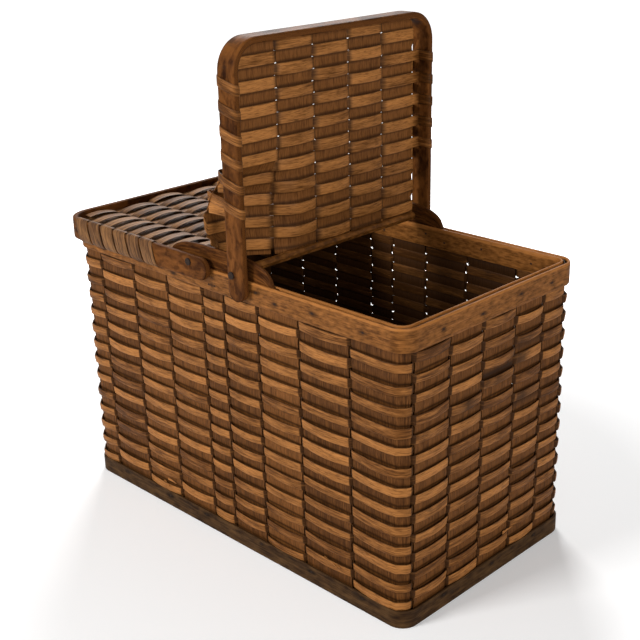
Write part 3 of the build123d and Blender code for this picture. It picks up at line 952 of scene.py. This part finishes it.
def weaver_path(hand):
    """Samples along a lid's weaver: along, across, height, width, seed, darkening (painted shade by the
    slits; the wraps and turns a little darker) and side.

    Then the shifts of those that don't simply follow the loose corner, and where the short last row starts.
    """
    sizes = basket_sizes()
    pitch = row_pitch()
    outside = 0.9 * MM
    over, under = BOW_HIGH + outside, BOW_LOW - outside
    near, far = BOW_OUTER - BOW_THICKNESS - 0.56 * MM, BOW_OUTER + 0.85 * MM
    wrap_width = sizes.left_wrap if hand == "left" else sizes.right_wrap
    samples, settled = [], {}
    for row in range(sizes.lid_rows):
        a = LID_ROWS_START + (row + 0.5) * pitch
        high = row % 2 == 1
        end = 1 if high else -1
        reach = PANEL_HALF if row < sizes.lid_rows - 1 else LAST_ROW_HALF
        turn_seed = row * 7 + 6
        for k in range(77):
            y = end * (-reach + 2 * reach * k / 76)
            rise, gap, which = lid_offset(a, y, high)
            # The sixth value is painted shade, darkest next to a slit between splints.
            samples.append((a + 0.5 * MM * wobble(row + 11, y, 16), y, PANEL_LEVEL + rise, sizes.lid_strip,
                            row * 7 + which, 1 - min(1, gap), 1 if rise > 0 else -1))
        if row == sizes.lid_rows - 2:
            start_last = len(samples)
        if row >= sizes.lid_rows - 2:
            continue
        corner = hand == "right" and end < 0
        first = sizes.loop_rows if corner else sizes.first_wrap
        if row + 1 >= first and a + pitch + 4.4 * MM <= 177.1 * MM:
            turns = [(near, PANEL_LEVEL - sizes.side, 0), (near, under, 0.05), (far, under, 0.2),
                     (far, over, 0.8), (near, over, 0.95), (PANEL_HALF + 3 * MM, PANEL_LEVEL + sizes.side, 1)]
            if high:
                turns = [(y, z, 1 - share) for y, z, share in turns[::-1]]
            line = rounded([(a + share * pitch, end * y, z) for y, z, share in turns])
            for k, (p, y, z) in enumerate(line):
                if corner and row + 1 < sizes.loose_rows:
                    held = eased((0.95 - (p - a) / pitch) / 0.15)
                    settled[len(samples)] = 0.0, loosened(hand, p, y)[1] * (1 - held)
                mid = 1 - abs(2 * k / (len(line) - 1) - 1) ** 3
                samples.append((p, y, z, sizes.lid_strip + (wrap_width - sizes.lid_strip) * mid, turn_seed,
                                0.1 * mid if hand == "left" else 0, 1))
        else:
            loose = loosened(hand, a + pitch / 2, end * PANEL_HALF)[1] / sizes.hump
            edge = PANEL_HALF + 0.7 * MM
            out = (0.4 + (0.6 + 0.9 * chance(row)) * loose) * MM
            rise = samples[-1][2] - PANEL_LEVEL
            for share, bow, height in PLAIN_TURN:
                samples.append((a + pitch * share, end * (edge + out * bow), PANEL_LEVEL + rise * height,
                                sizes.lid_strip, turn_seed, 0.2, 1))
    return samples, settled, start_last


def lid_weave_pile(hand):
    """Weaver of one lid: to and fro over and under the lid splints, and round the arms from row to row."""
    place = lid_frame(hand)
    samples, settled, start_last = weaver_path(hand)
    pile = Pile()
    for first, last in ((0, start_last), (start_last, len(samples))):
        part = samples[first:last]
        rows = []
        for number, (a, y, h, width, seed, _, side) in enumerate(part, first):
            half = width / 2 * (1 + 0.05 * wobble(seed, y, 25))
            shift, push = settled.get(number) or loosened(hand, a, y)
            row = []
            for k in (-1, -0.85, -0.45, 0, 0.45, 0.85, 1):
                dome = 0.22 * MM * (1 - k * k) * side + 0.5 * MM * k * (chance(seed + 0.4) - 0.3)
                row.append(place(a + half * k, y + shift, h + push + (dome if abs(y) < PANEL_HALF else 0)))
            rows.append(row if hand == "right" else row[::-1])

        def tone(i, j):
            _, y, _, _, seed, _, side = part[i]
            # The face of the open lid's weaver that the camera sees is toned lighter: a painted highlight.
            seen = 0.14 if hand == "right" and side < 0 else 0
            wrapped = (-0.1 if hand == "left" else -0.14) if abs(y) > PANEL_HALF + 4 * MM else 0
            return 0.2 * uneven(seed * 1.7) + 0.12 * wobble(5, y, 9) + seen + wrapped

        def dirt(i, j):
            # Painted shade next to the slits and painted shade lines along both edges of the weaver.
            return max(0.97 * part[i][5] ** 0.6, 0.65 if j in WEAVER_EDGES else 0)

        pile.strip(rows, basket_sizes().splint, WEAVER_PROFILE, tone=tone, dirt=dirt, start=first * 0.01 + 30)
    return pile


def stick_pile(hand):
    """Round stick across a lid's hinge end, whittled at both ends."""
    low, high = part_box(hand + "_rod")
    centre = (low + high) / 2
    radius, half = (high.x - low.x) / 2, (high.y - low.y) / 2
    whittled = 6 * MM
    ends = [(-half + inset * MM, size) for inset, size in ((1.7, 0.5), (2.5, 0.8), (4, 0.97), (6, 1))]
    line = ends + [((half - whittled) * (k / 12 - 1), 1) for k in range(1, 24)]
    line += [(-y, size) for y, size in ends[::-1]]
    rows = []
    for y, size in line:
        wave = 0.2 * MM * wobble(14, y, 22)
        ring = [(radius * size / 2 * cos(t * pi / 8), radius * size / 2 * sin(t * pi / 8)) for t in range(17)]
        rows.append([centre + Vector((x + wave, y, z)) for x, z in ring])
    pile = Pile()
    pile.strip(rows, radius, (1,) * 17, tone=-0.1, start=12.0)
    return pile


class BASKET_OT_lids(bpy.types.Operator):
    """Both lids: bow, lid splints, weaver and stick"""
    bl_idname = "basket.lids"
    bl_label = "Lids"

    def execute(self, context):
        woods = {"left": ("Ash lid splint", "Ash lid splint"), "right": ("Ash weaver", "Ash upright")}
        for hand, (across, along) in woods.items():
            body = hand + "_lid"
            bow_pile(hand).piece(hand + "_bent_bow", "Bent oak", "bow_wood", body, [hand + "_bow"])
            splints_pile(hand).piece(hand + "_lid_splints", along, "lid_warp", body, [hand + "_warps"])
            lid_weave_pile(hand).piece(hand + "_lid_weave", across, "lid_weaver", body, [hand + "_weavers"])
            stick_pile(hand).piece(hand + "_stick", "Bent ash rim", "rod_wood", body, [hand + "_rod"])
        return {"FINISHED"}


class BASKET_OT_nails(bpy.types.Operator):
    """Pivot nails and the small cut nails of the hoops"""
    bl_idname = "basket.nails"
    bl_label = "Nails"

    def execute(self, context):
        for name in ("pivot_nails", "rim_nails", "foot_nails"):
            node = frame["nodes"][name]
            node.data.materials.clear()
            node.data.materials.append(finishes()["Rusted iron"])
        return {"FINISHED"}


def floor_material():
    """Matt white paper that a camera sees as glowing away from the basket, so that it meets the backdrop."""
    made, tree, shader = new_material("Matt paper floor")
    shader.inputs["Base Color"].default_value = (*bpy.context.scene.basket_colours.floor, 1)
    shader.inputs["Roughness"].default_value = 0.95
    seen = add(tree, "ShaderNodeLightPath").outputs["Is Camera Ray"]
    place = add(tree, "ShaderNodeTexCoord").outputs["Object"]
    away = add(tree, "ShaderNodeVectorMath", {"operation": "LENGTH"}, {0: place}).outputs["Value"]
    strength = maths(tree, "MULTIPLY", seen, remapped(tree, away, 0.2, 1.0, 0.35, 0.8))
    glow = add(tree, "ShaderNodeEmission", links={"Color": (1, 1, 1, 1), "Strength": strength})
    both = add(tree, "ShaderNodeAddShader", links={0: shader.outputs[0], 1: glow.outputs[0]})
    tree.links.new(both.outputs[0], tree.nodes["Material Output"].inputs["Surface"])
    return made


def lay_floor():
    """Floor just under the basket."""
    half, level = 9, -0.4 * MM
    mesh = bpy.data.meshes.new("studio_floor")
    corners = [(x * half, y * half, level) for x, y in ((-1, -1), (1, -1), (1, 1), (-1, 1))]
    mesh.from_pydata(corners, [], [(0, 1, 2, 3)])
    mesh.materials.append(floor_material())
    ground = in_scene("studio_floor", mesh)


def light_world():
    """White world to the camera and in reflections, dim as a light."""
    world = bpy.data.worlds.new("Studio")
    bpy.context.scene.world = world
    world.use_nodes = True
    tree = world.node_tree
    back = tree.nodes["Background"]
    rays = add(tree, "ShaderNodeLightPath").outputs
    seen = maths(tree, "MAXIMUM", rays["Is Camera Ray"], rays["Is Glossy Ray"])
    tree.links.new(remapped(tree, seen, 0.12, 1.0), back.inputs["Strength"])
    back.inputs["Color"].default_value = (1, 1, 1, 1)


def hang_lamps():
    """Three softboxes: from the front left, from the right and from behind."""
    target = Vector((0, 0, 0.2))
    for label, spot, power, width in (
        ("Key softbox", (-0.5, -2.0, 1.2), 40, 0.7),
        ("Side softbox", (2.1, -0.6, 0.95), 25, 0.7),
        ("Back softbox", (-1.0, 1.0, 1.4), 24, 0.6),
    ):
        data = bpy.data.lights.new(label, "AREA")
        data.energy = power
        data.size = width
        lamp = in_scene(label, data)
        lamp.location = spot
        lamp.rotation_mode = "QUATERNION"
        lamp.rotation_quaternion = (target - Vector(spot)).to_track_quat("-Z", "Y")


def set_camera():
    """Camera that sees the basket as the photograph does."""
    data = bpy.data.cameras.new("Photograph camera")
    data.lens = 65.81
    data.sensor_width = 36
    camera = in_scene("Photograph camera", data)
    eye, aim, roll = Vector((0.78303, -0.75906, 0.61941)), Vector((0.01529, 0, 0.20057)), -0.0252
    back_way = (eye - aim).normalized()
    right = Vector((0, 0, 1)).cross(back_way).normalized()
    up = back_way.cross(right)
    right_turned = right * cos(roll) + up * sin(roll)
    up_turned = up * cos(roll) - right * sin(roll)
    turn = Matrix((right_turned, up_turned, back_way)).transposed().to_4x4()
    camera.matrix_world = Matrix.Translation(eye) @ turn
    bpy.context.scene.camera = camera


class BASKET_OT_stage(bpy.types.Operator):
    """Floor, lamps, world and camera"""
    bl_idname = "basket.stage"
    bl_label = "Stage"

    def execute(self, context):
        bpy.context.scene.view_settings.view_transform = "Standard"
        lay_floor()
        light_world()
        hang_lamps()
        set_camera()
        return {"FINISHED"}


class BASKET_PT_panel(bpy.types.Panel):
    """Lists the basket's makers and sizes"""
    bl_idname = "BASKET_PT_panel"
    bl_label = "Splint basket"
    bl_space_type = "VIEW_3D"
    bl_region_type = "UI"
    bl_category = "Basket"

    def draw(self, context):
        layout = self.layout
        for group in (context.scene.basket_sizes, context.scene.basket_colours):
            for key in group.bl_rna.properties.keys():
                if key not in ("rna_type", "name"):
                    layout.prop(group, key)
        for operator in OPERATORS:
            layout.operator(operator.bl_idname)


OPERATORS = (BASKET_OT_stage, BASKET_OT_uprights, BASKET_OT_weavers, BASKET_OT_hoops, BASKET_OT_crescents,
             BASKET_OT_lids, BASKET_OT_nails)
CLASSES = (BasketSizes, BasketColours, *OPERATORS, BASKET_PT_panel)


def register():
    for item in CLASSES:
        bpy.utils.register_class(item)
    bpy.types.Scene.basket_sizes = PointerProperty(type=BasketSizes)
    bpy.types.Scene.basket_colours = PointerProperty(type=BasketColours)


def unregister():
    del bpy.types.Scene.basket_sizes
    del bpy.types.Scene.basket_colours
    for item in reversed(CLASSES):
        bpy.utils.unregister_class(item)


def main():
    """Builds the basket on its stage."""
    register()
    for operator in OPERATORS:
        group, name = operator.bl_idname.split(".")
        getattr(getattr(bpy.ops, group), name)()


if __name__ == "__main__":
    main()
